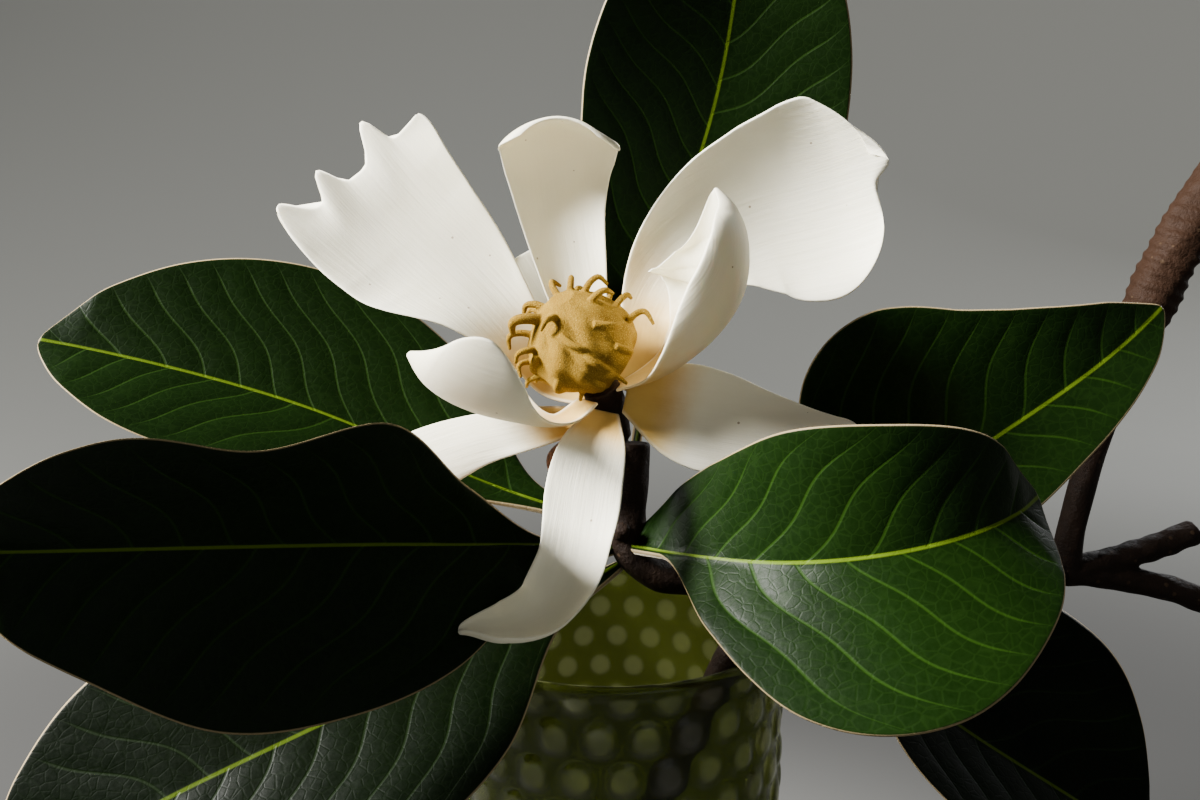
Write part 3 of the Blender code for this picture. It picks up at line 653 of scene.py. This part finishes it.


# ------------------------------------------------------------------ shapes

# A sheet grows from its "foot", or from its "seat" on the receptacle (angle round the flower's
# axis, height there, height where it clears the cone, None for one that never rises beside it),
# by its "length" through its "headings".  "face" is the way its upper side looks, "left" and
# "right" its half widths, "turn" how far each half curls up, "fold" the angle at the midrib,
# "tip" the share of the length that rounds off the end and "end" how blunt it stays there.
# "roll" lifts the end.  A spike is (place across, length, width, lift, shift).  "blush" is how
# far the golden foot reaches, 1 for most, and "shade" picks a leaf's painted light and shade:
# one green copied darker or lighter for how the light falls on that leaf.
PETALS = {
    "petal_1": dict(
        seat=(142, -5, 1), length=93, headings=[(120, 0), (132, 10), (137, 5), (130, -5)],
        face=[(0.4, -0.6, 0.7), (0.5, -0.8, 0.4), (0.4, -0.9, 0), (0.3, -0.95, -0.2)],
        left=[4.5, 10, 23, 34, 35, 31], right=[4.5, 8, 13, 20, 26, 30],
        turn=[10, 30, 45, 50, 48, 38], tip=0.06, end=0.9, roll=-2,
        spikes=[(-0.88, 8, 0.12, 1, -3), (-0.38, 9, 0.12, 1, 0), (0.32, 11, 0.14, 1, 2)]),
    "petal_2": dict(
        seat=(90, -1.5, 1.2), length=90, headings=[(97, 10), (100, 12), (98, 5), (94, -25), (85, -110)],
        face=[(0, -0.6, 0.8), (0, -1, 0.2), (0, -1, 0.1), (0, -0.9, -0.4)],
        left=[4.5, 9, 14, 18, 21, 22], right=[4.5, 7, 11, 14, 20, 23],
        turn=[10, 30, 45, 45, 45, 50], tip=0.1, end=0.6),
    "petal_3": dict(
        seat=(31, -5.5, -1.5), length=101, headings=[(85, 10), (45, 15), (15, -5), (20, -30)],
        face=[(-0.2, -0.6, 0.7), (-0.2, -1, 0.2), (-0.2, -1, 0), (-0.3, -0.9, 0)],
        left=[4.5, 10, 20, 30, 36, 34], right=[4.5, 8, 15, 24, 32, 28],
        turn=[10, 30, 40, 40, 35, 30], tip=0.16, end=0.35,
        spikes=[(-0.6, 6, 0.3, 0, 0)]),
    "petal_4": dict(
        seat=(-22, -1.5, 0), length=70, headings=[(30, -30), (50, -10), (92, 12), (128, 15)],
        face=[(-0.5, -0.1, 0.85), (-0.7, -0.1, 0.6), (-0.85, -0.2, 0.5), (-1, -0.2, 0)],
        left=[4.5, 14, 28, 34, 28, 10], right=[4.5, 12, 24, 30, 26, 10],
        turn=[10, 50, 90, 100, 90, 60], tip=0.2),
    "petal_5": dict(
        seat=(-30, -6, None), length=74, headings=[(-10, -10), (-8, -4), (-4, 0)],
        face=[(0.1, -0.95, 0.3), (0.1, -1, 0.1), (0.1, -1, 0.1)],
        left=[4.5, 14, 14, 10, 6, 3], right=[4.5, 15, 18, 13, 8, 4],
        turn=[10, 15, 10, 5, 0], tip=0.12, blush=0.8),
    "petal_6": dict(
        seat=(-104, -6, None), length=92,
        headings=[(-115, -65), (-108, -35), (-99, -25), (-112, -25), (-160, -15), (-190, 0)],
        face=[(0, -0.8, 0.6), (0, -0.9, 0.4), (-0.2, -0.9, 0.3), (-0.5, -0.8, 0.3), (-0.5, -0.2, 0.8)],
        left=[4.5, 10, 12, 12, 14, 11, 5], right=[4.5, 10, 11, 10, 11, 10, 5],
        turn=[10, 10, 15, 50, 90, 100], tip=0.12, end=0.2, blush=0.5),
    "petal_7": dict(
        seat=(-142, -1.5, 0.5), length=53, headings=[(180, -15), (160, 0), (118, 15)],
        face=[(-0.2, -0.3, 0.9), (0.2, 0, 1), (0.5, 0, 0.85)],
        left=[4.5, 10, 36, 36, 14], right=[4.5, 6, 26, 34, 14],
        turn=[10, 30, 80, 80, 50], tip=0.2),
    "petal_8": dict(
        seat=(178, -10, None), length=68, headings=[(187, -10), (192, -15), (208, -15)],
        face=[(0, -0.7, 0.7), (0.1, -0.8, 0.6), (0.3, -0.8, 0.5)],
        left=[4.5, 7, 8, 11, 11], right=[4.5, 8, 10, 11, 10],
        turn=[10, 0, -15, -20, -20], tip=0.2),
    "petal_9": dict(
        seat=(100, -9, -7), length=50, headings=[(110, 10), (120, 20), (120, 15)],
        face=[(0, -0.6, 0.8), (0.1, -0.95, 0.2), (0.1, -1, 0)],
        left=[4.5, 10, 14, 19, 16], right=[4.5, 8, 12, 16, 15],
        turn=[10, 20, 25, 30, 30], tip=0.2),
}

LEAVES = {
    "leaf_1": dict(
        foot=(6, -14, 251), length=218, headings=[(78, 30), (80, 25), (71, 10), (82, -10), (88, -25)],
        face=[(0, -0.9, 0.3), (0, -1, 0.2), (0, -1, 0), (0, -0.9, 0.4)],
        left=[1.7, 2, 24, 42, 48, 40, 14], right=[1.7, 2, 26, 46, 46, 36, 12],
        turn=[10], fold=8, tip=0.12),
    "leaf_2": dict(
        foot=(4, -15, 237), length=200, headings=[(174, 15), (156, 5), (162, -5), (168, -8)],
        face=[(0.1, -0.6, 0.8), (0.1, -0.7, 0.7)],
        left=[1.7, 4, 15, 27, 37, 32, 10], right=[1.7, 8, 34, 48, 50, 38, 10],
        turn=[5], fold=14, tip=0.08),
    "leaf_3": dict(
        foot=(2, -16, 229), length=190, headings=[(164, -35), (168, -35), (170, -35), (172, -30)],
        face=[(0, -0.9, 0.4), (0, -1, 0), (0, -1, -0.2)],
        left=[1.7, 12, 36, 46, 46, 30, 10], right=[1.7, 3, 20, 42, 34, 38, 16],
        turn=[10], fold=20, tip=0.12),
    "leaf_4": dict(
        foot=(3, -15, 223), length=195, headings=[(200, -35), (200, -28), (200, -20), (210, -20)],
        face=[(-0.1, -0.65, 0.75), (-0.1, -0.8, 0.6)],
        left=[1.7, 10, 36, 46, 46, 38, 12], right=[1.7, 6, 30, 43, 46, 38, 12],
        turn=[5], fold=6, tip=0.08, shade="leaf_dark"),
    "leaf_5": dict(
        foot=(3, -16, 230), length=148, headings=[(10, -50), (9, -44), (12, -25), (13, 10), (17, 50)],
        face=[(0, -0.8, 0.6), (0, -0.9, 0.4), (0, -0.95, 0.3), (0.5, -0.8, 0.4)],
        left=[1.7, 22, 32, 38, 36, 28, 10], right=[1.7, 3, 24, 44, 46, 30, 8],
        turn=[10], fold=14, tip=0.14, shade="leaf_light"),
    "leaf_6": dict(
        foot=(66, -15, 212), length=143, headings=[(57, -8), (43, -8), (37, -3), (45, 8)],
        face=[(-0.3, -0.9, 0.4), (0.1, -0.95, 0.3), (0.2, -0.95, 0.2)],
        left=[1.7, 25, 52, 56, 38, 22, 5], right=[1.7, 9, 22, 25, 21, 15, 6],
        turn=[8], fold=8, tip=0.1, shade="leaf_light"),
    "leaf_7": dict(
        foot=(73, -14, 212), length=132, headings=[(-58, 0), (-33, -8), (-30, -14)],
        face=[(0.2, -0.65, 0.75)],
        left=[1.7, 10, 40, 58, 62, 52, 16], right=[1.7, 6, 24, 32, 34, 28, 10],
        turn=[5], fold=8, tip=0.1, shade="leaf_dark"),
    "leaf_8": dict(
        foot=(200, 12, 343), length=124, headings=[(75, -35), (72, -10), (68, 5), (62, 15)],
        face=[(-0.3, -0.9, 0.3), (-0.2, -0.95, 0.2)],
        left=[1.7, 7, 20, 25, 19, 8], right=[1.7, 7, 20, 25, 19, 8],
        turn=[10], fold=10, tip=0.12),
}

BRACT = dict(seat=(-138, -14, None), length=22, headings=[(-150, -10), (-120, -20)],
             face=[(-0.2, -0.6, 0.8)], left=[2.5, 6, 8, 5], right=[2.5, 6, 8, 5], turn=[30], tip=0.3)

# The woody piece.  The stem starts just clear of the vase's floor, runs up to pass close by its
# rim and grows on from there.  Every other limb grows from "where" it starts.  "radii" are at
# even steps.
STEM_RADIUS = 5.0
STEM_SLANT = 1.1         # how much wider the leaning stem is in a level cut
STEM_RUNS = 12           # even steps up the straight stretch in the vase
STEM_FOOT = (-30, 30, VASE_FLOOR + 3)
STEM_LEANS = -39         # degrees round the vase, where the stem passes the rim
FORK = (62, -16, 212)
LONG_FORK = (158, 4, 215)
LIMBS = {
    "stem": dict(length=129, headings=[(50, 36), (8, 20), (-2, 12), (4, 12), (8, 12)],
                 radii=[5], stations=160),
    "flower_arm": dict(where=FORK, length=95,
                       headings=[(172, 5), (170, 0), (168, 0), (160, -5), (95, 0), (85, 0), (95, 3)],
                       radii=[4.9, 4.9, 5.2, 6, 5, 5], stations=90),
    "long_arm": dict(where=LONG_FORK, length=152,
                     headings=[(80, 7), (74, 7), (72, 0), (67, 0), (63, 5)],
                     radii=[4.9, 4.5, 5, 8, 8, 5], stations=260),
    "twig_a": dict(where=LONG_FORK, length=50, headings=[(10, 5), (19, 9)],
                   radii=[4.8, 4.5, 4.5], stations=40),
    "twig_b": dict(where=LONG_FORK, length=72, headings=[(-5, 5), (-14, -5), (-33, -20)],
                   radii=[4.7, 4.5, 4.5, 4], stations=50),
    "stub": dict(where=(3, -17, 234), length=13, headings=[(80, -70), (85, -60)],
                 radii=[2.8, 2.5, 2.2], stations=16),
}


def limb_path(name):
    """A limb's path; the stem's also runs straight from the vase's floor to its rim."""
    shape = LIMBS[name]
    if name != "stem":
        start = np.array(shape["where"], float)
        return [start, *grown_path(start, shape["length"], shape["headings"])]
    low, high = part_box("vase")
    reach = (high[0] - low[0]) / 2 / MM - VASE_WALL - STEM_RADIUS * STEM_SLANT - CLEARANCE
    turn = math.radians(STEM_LEANS)
    rim = np.array([reach * math.cos(turn), reach * math.sin(turn), (high[2] - low[2]) / MM])
    foot = np.array(STEM_FOOT, float)
    rise = [foot + (rim - foot) * k / STEM_RUNS for k in range(STEM_RUNS + 1)]
    return [*rise, *grown_path(rim, shape["length"], shape["headings"])]


def leaf_relief(x, along, edge, t, side):
    """Raised midrib, sunk side veins and a quilted blade, matching the vein pattern."""
    out = np.abs(x)
    sign = np.sign(x)
    count = (along - out * VEIN_SLOPE - out ** 2 * VEIN_BEND) / VEIN_SPACING
    drift, drift_length = VEIN_WANDER
    waver, waver_out, waver_along = VEIN_WAVER
    count = count + drift * np.sin(along / drift_length + sign) + VEIN_STAGGER * sign
    count = count + waver * np.sin(out / waver_out + along / waver_along + 2 * sign)
    off = np.abs(count - np.round(count))
    vein = np.exp(-(off * VEIN_SPACING * VEIN_SQUARE / 0.9) ** 2)
    inner = np.clip(edge / 10, 0, 1) * np.clip(out / 3, 0, 1)
    rib = np.exp(-(out / 1.2) ** 2) * np.clip(1.1 - t, 0, 1)
    quilt = np.sin(math.pi * off) * 0.28
    if side > 0:
        return 0.45 * rib + (quilt - 0.12 * vein) * inner
    return side * (1.1 * rib + 0.3 * vein * inner) + quilt * inner


def petal_relief(phase):
    def relief(x, along, edge, t, side):
        soft = np.sin(along / 11 + phase) * np.sin(x / 8 + 2 * phase)
        soft = soft + 0.6 * np.sin(along / 5.3 - phase + x / 9)
        return 0.16 * soft * np.clip(along / 20, 0, 1) * np.clip(edge / 3, 0, 1)
    return relief


def build_petals():
    inside = petal_material("petal_inside", True)
    outside = petal_material("petal_outside_tone_and_shade", False)
    for number, (name, shape) in enumerate(PETALS.items()):
        relief = petal_relief(1.7 * number)
        points, values = sheet_points(shape, *PETAL_GRID, PETAL_THICK, relief)
        mesh = rolled_mesh(name + "_sheet", points, values, under_slot=True)
        place(mesh, name, "petal_cream", inside, outside)


def build_leaves():
    # Three copies of one leaf green, darker and lighter: painted shade and painted light, picked per leaf
    # by its "shade"
    upper = {name: leaf_top_material(name, light)
             for name, light in (("leaf_dark", 0.2), ("leaf_painted_half_light", 0.6), ("leaf_light", 0.9))}
    under = leaf_under_material()
    for name, shape in LEAVES.items():
        points, values = sheet_points(shape, *LEAF_GRID, LEAF_THICK, leaf_relief)
        mesh = rolled_mesh(name + "_sheet", points, values, under_slot=True)
        place(mesh, name, "leaf_green", upper[shape.get("shade", "leaf_painted_half_light")], under)


def build_bract():
    points, values = sheet_points(BRACT, *BRACT_GRID, BRACT_THICK, petal_relief(0.4))
    place(rolled_mesh("bract_sheet", points, values), "bract_1", "bract_brown", bract_material())


def bark_swell(name):
    """Uneven bark; on the long arm's swollen end also close rings of old leaf scars."""
    def swell(t, angle):
        wavy = 0.03 * np.sin(3 * angle + 17 * t) + 0.025 * np.sin(5 * angle - 31 * t + 1)
        wavy = wavy + 0.03 * np.sin(40 * t + 2 * np.sin(angle))
        if name == "long_arm":
            swollen = np.exp(-((t - 0.75) / 0.2) ** 2)
            ring = np.cos(2 * math.pi * (34 * t + 0.25 * np.sin(angle) + 0.1 * np.sin(3 * angle)))
            wavy = wavy + 0.075 * swollen * np.clip(ring, -0.4, 1)
        return 1 + wavy
    return swell


def build_branch():
    parts = []
    for name, shape in LIMBS.items():
        path = limb_path(name)
        points = tube_points(path, shape["radii"], shape["stations"], LIMB_RING, bark_swell(name))
        parts.append(rolled_mesh(name, points))
    base, axis, right, up = flower_frame()
    heights = np.linspace(-RECEPTACLE_LENGTH - NECK_LENGTH, -CLEARANCE, RECEPTACLE_STATIONS)
    swelled = smooth_through(RECEPTACLE_PROFILE, np.linspace(0, 1, RECEPTACLE_STATIONS))
    angle = 2 * math.pi * np.arange(LIMB_RING) / LIMB_RING
    around = right * np.cos(angle)[:, None] + up * np.sin(angle)[:, None]
    points = base + axis * heights[:, None, None] + swelled[:, None, None] * around[None]
    parts.append(rolled_mesh("receptacle", points))
    skin = skin_over("branch_bark", parts, BARK_VOXEL, 2)
    place(skin, "branch", "bark", bark_material())


def hooked(foot, out, axis, aside, length, hook):
    """A stigma that leaves the cone and bends over at its end."""
    return [foot, foot + out * length * 0.45 + axis * length * 0.3,
            foot + out * length * 0.85 + axis * length * 0.35 + aside * hook * 0.3,
            foot + out * length * 1.0 - axis * length * 0.05 + aside * hook]


# Stigmas: height on the cone, angle round it, length, sideways hook, thickness
STIGMAS = [
    (29, 190, 10, -2, 1.9), (30, 150, 7, 3, 1.3), (31, 100, 8, -3, 1.2), (31, 60, 7, 3, 1.2),
    (30, 20, 8, -2, 1.2), (29, -20, 7, 3, 1.3), (30, 240, 6, -3, 1.2), (24, 175, 9, 2, 1.2),
    (22, 205, 8, -3, 1.2), (17, 190, 7, 3, 1.1), (12, 200, 7, -3, 1.1), (22, 5, 7, 3, 1.2),
    (17, -8, 9, -4, 1.2), (9, 170, 6, 2, 1.1), (25, 130, 7, 2, 1.1), (24, 75, 7, -3, 1.1),
    (18, 45, 7, 3, 1.1), (18, 110, 6, -2, 1.1), (4, -62, 8, 2, 1.2), (3, -118, 6, -2, 1.2),
]
# Stigmas that lie along the cone: height, angle, climb, sweep in degrees
ARCS = [(27, -110, -6, 28), (26, -60, -5, 30), (20, -88, -8, 18), (15, -125, -8, -20),
        (18, -55, -7, 22), (12, -95, -7, 16), (22, -150, -7, -15)]


def cone_radius(height):
    return smooth_through(CONE_PROFILE, np.asarray(height) / CONE_LENGTH)


def build_cone():
    base, axis, right, up = flower_frame()
    heights = CONE_LENGTH * (1 - np.cos(np.linspace(0, math.pi, 90))) / 2
    angle = 2 * math.pi * np.arange(180) / 180
    twist = angle[None] + heights[:, None] * 0.03
    lobes = 1 + 0.02 * np.sin(11 * angle[None] - heights[:, None] / 3)
    for tier, middle in enumerate(CONE_TIERS):
        level = np.exp(-((heights[:, None] - middle) / 5.5) ** 2)
        lobes = lobes + 0.13 * level * (np.abs(np.cos(4 * twist + tier * math.pi / 2)) ** 0.7 - 0.6)
    radius = cone_radius(heights)[:, None] * lobes
    around = right * np.cos(angle)[:, None] + up * np.sin(angle)[:, None]
    body = base + axis * heights[:, None, None] + radius[..., None] * around[None]
    parts = [rolled_mesh("cone_body", body)]
    for height, turn, length, hook, thick in STIGMAS:
        a = math.radians(turn)
        out = right * math.cos(a) + up * math.sin(a)
        foot = base + axis * height + out * (float(cone_radius([height])[0]) - 2.0)
        path = hooked(foot, out, axis, np.cross(axis, out), length, hook)
        parts.append(rolled_mesh("stigma", tube_points(
            path, [thick, thick * 0.9, thick * 0.75, thick * 0.45], 24, 14)))
    for height, turn, climb, sweep in ARCS:
        path = []
        for step in range(5):
            f = step / 4
            a = math.radians(turn + sweep * f)
            h = height + climb * f
            lift = float(cone_radius([h])[0]) + 0.2 + 0.9 * math.sin(math.pi * f)
            path.append(base + axis * h + (right * math.cos(a) + up * math.sin(a)) * lift)
        parts.append(rolled_mesh("arc", tube_points(path, [1.2, 1.2, 1.1, 0.9, 0.5], 28, 12)))
    place(skin_over("carpel_cone_skin", parts, CONE_VOXEL, 1), "carpel_cone", "carpel_gold",
          flock_material())


def build_vase():
    low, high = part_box("vase")
    height = (high[2] - low[2]) / MM
    outer = (high[0] - low[0]) / 2 / MM
    inner = outer - VASE_WALL
    columns = HOBNAIL_COUNT * 10
    pitch = (height - 12) / HOBNAIL_ROWS
    wall = outer - HOBNAIL_RISE
    flare = [*FOOT_FLARE, wall]
    rise = FOOT_PROFILE[-1][1]
    rows = list(FOOT_PROFILE)
    rows += [(smooth_through(flare, [f])[0], rise + 6 * f) for f in np.linspace(0, 1, 6)]
    rows += [(wall, h) for h in np.linspace(7.5, height - 4.5, 150)]
    lip = VASE_WALL / 2
    lips = math.pi * np.linspace(0, 1, 14)
    rows += [(inner + lip + lip * math.cos(a), height - lip + lip * math.sin(a)) for a in lips]
    rows += [(inner, h) for h in np.linspace(height - 6, VASE_FLOOR + 8, 40)]
    rows += [(inner - FLOOR_ROUND * (1 - math.cos(a)), VASE_FLOOR + FLOOR_ROUND * (1 - math.sin(a)))
             for a in np.linspace(0.1, math.pi / 2, 8)]
    rows += [(inner * f, VASE_FLOOR) for f in (0.7, 0.4, 0.0)]
    radius, level = np.array(rows).T
    angle = 2 * math.pi * np.arange(columns) / columns
    arc = 2 * math.pi * outer / HOBNAIL_COUNT
    on_wall = ((radius > wall - 0.01) & (level < height - 4) & (level > 7))[:, None]
    dome_and_painted_highlight = np.zeros((len(rows), columns))
    line = (level[:, None] - 8) / pitch
    for row in (np.floor(line), np.floor(line) + 1):
        shift = 0.5 * (row % 2)
        place_round = angle[None] / (2 * math.pi) * HOBNAIL_COUNT - shift
        dx = (place_round - np.round(place_round)) * arc
        dz = (line - row) * pitch
        far = np.sqrt(dx ** 2 + dz ** 2) / (0.4 * arc)
        valid = (row >= 0) & (row <= HOBNAIL_ROWS)
        dome_and_painted_highlight = np.maximum(dome_and_painted_highlight, np.where(valid, np.clip(1 - far ** 2, 0, 1), 0))
    dome_and_painted_highlight = dome_and_painted_highlight * on_wall
    bulge = radius[:, None] + (HOBNAIL_RISE - 0.15) * np.sqrt(dome_and_painted_highlight)
    points = np.stack([bulge * np.cos(angle), bulge * np.sin(angle),
                       np.repeat(level[:, None], columns, 1)], -1)
    # the dome mask goes with the mesh and becomes the glass's painted highlight
    mesh = rolled_mesh("vase_glass", points, {"dome_and_painted_highlight": dome_and_painted_highlight})
    place(mesh, "vase", "green_glass", glass_material())


# ------------------------------------------------------------------ floor, light and camera

def studio_material(name, wall, floor, pool):
    """Grey wall and floor, paler in a wide pool where the vase stands."""
    mat, tree, shader, where = start_material(name, Roughness=0.9)
    tone = mottle(tree, where, 2.0, 0.6)
    shade = blend(tree, tone, tuple(0.94 * c for c in wall), wall)
    flat = add(tree, "ShaderNodeVectorMath", {0: where, 1: (1, 1, 0)}, operation="MULTIPLY")
    far = add(tree, "ShaderNodeVectorMath", {0: flat.outputs[0]}, operation="LENGTH")
    shade = blend(tree, fade(tree, far.outputs["Value"], 0.5, 1.7), floor, shade)
    near = calc(tree, "SUBTRACT", 1.0, fade(tree, far.outputs["Value"], 0.1, 0.4))
    shade = blend(tree, near, shade, pool)
    tree.links.new(shade, shader.inputs["Base Color"])
    return mat


def build_stage():
    """Pale round floor that sweeps up into a plain wall on every side."""
    bm = bmesh.new()
    bend = 0.9
    turns = np.linspace(0, math.pi / 2, 24)
    profile = [(0.001, 0.0), (0.3, 0.0), (WALL_DISTANCE - bend, 0.0)]
    start = WALL_DISTANCE - bend
    profile += [(start + bend * math.sin(a), bend - bend * math.cos(a)) for a in turns[1:]]
    profile.append((WALL_DISTANCE, 4.0))
    verts = [bm.verts.new((x, 0, z)) for x, z in profile]
    edges = [bm.edges.new(pair) for pair in zip(verts, verts[1:])]
    bmesh.ops.spin(bm, geom=verts + edges, cent=(0, 0, 0), axis=(0, 0, 1), angle=2 * math.pi,
                   steps=96, use_merge=True)
    bmesh.ops.holes_fill(bm, edges=[e for e in bm.edges if e.is_boundary and e.calc_length() < 0.01],
                         sides=0)
    bmesh.ops.reverse_faces(bm, faces=[f for f in bm.faces if f.normal.z < 0])
    for face in bm.faces:
        face.smooth = True
    mesh = bpy.data.meshes.new("backdrop")
    bm.to_mesh(mesh)
    bm.free()
    mesh.materials.append(studio_material(
        "studio_grey", (0.134, 0.136, 0.128), (0.02, 0.02, 0.019), (0.09, 0.09, 0.086)))
    stage = bpy.data.objects.new("backdrop", mesh)
    bpy.context.collection.objects.link(stage)


def soft_light(name, place_at, aim, size, power, colour):
    data = bpy.data.lights.new(name, "AREA")
    data.shape = "RECTANGLE"
    data.size, data.size_y = size
    data.energy = power
    data.color = colour
    lamp = bpy.data.objects.new(name, data)
    lamp.location = place_at
    towards = np.array(aim) - np.array(place_at)
    flat = math.hypot(towards[0], towards[1])
    turn = math.atan2(-towards[0], towards[1])
    lamp.rotation_euler = (math.atan2(flat, -towards[2]), 0, turn)
    bpy.context.collection.objects.link(lamp)


def build_light():
    heart = (0, -0.02, 0.28)
    soft_light("window", (-1.3, -0.33, 1.12), heart, (0.5, 0.5), 220, (1.0, 0.985, 0.95))
    soft_light("front_fill", (0.7, -1.5, 0.6), heart, (1.0, 1.0), 1.5, (0.95, 0.98, 1.0))
    soft_light("back_fill", (1.3, 1.2, 1.1), heart, (0.9, 0.9), 30, (0.97, 0.98, 1.0))
    world = bpy.data.worlds.new("room")
    world.use_nodes = True
    world.node_tree.nodes["Background"].inputs["Color"].default_value = (0.55, 0.57, 0.6, 1)
    world.node_tree.nodes["Background"].inputs["Strength"].default_value = 0.3
    bpy.context.scene.world = world


def build_camera():
    data = bpy.data.cameras.new("camera")
    data.lens = CAMERA_LENS
    data.sensor_width = 36.0
    data.clip_start = 0.01
    camera = bpy.data.objects.new("camera", data)
    camera.location = CAMERA_PLACE
    camera.rotation_euler = (math.radians(90 - CAMERA_PITCH), 0, 0)
    bpy.context.collection.objects.link(camera)
    bpy.context.scene.camera = camera


build_petals()
build_leaves()
build_bract()
build_branch()
build_cone()
build_vase()
build_stage()
build_light()
build_camera()
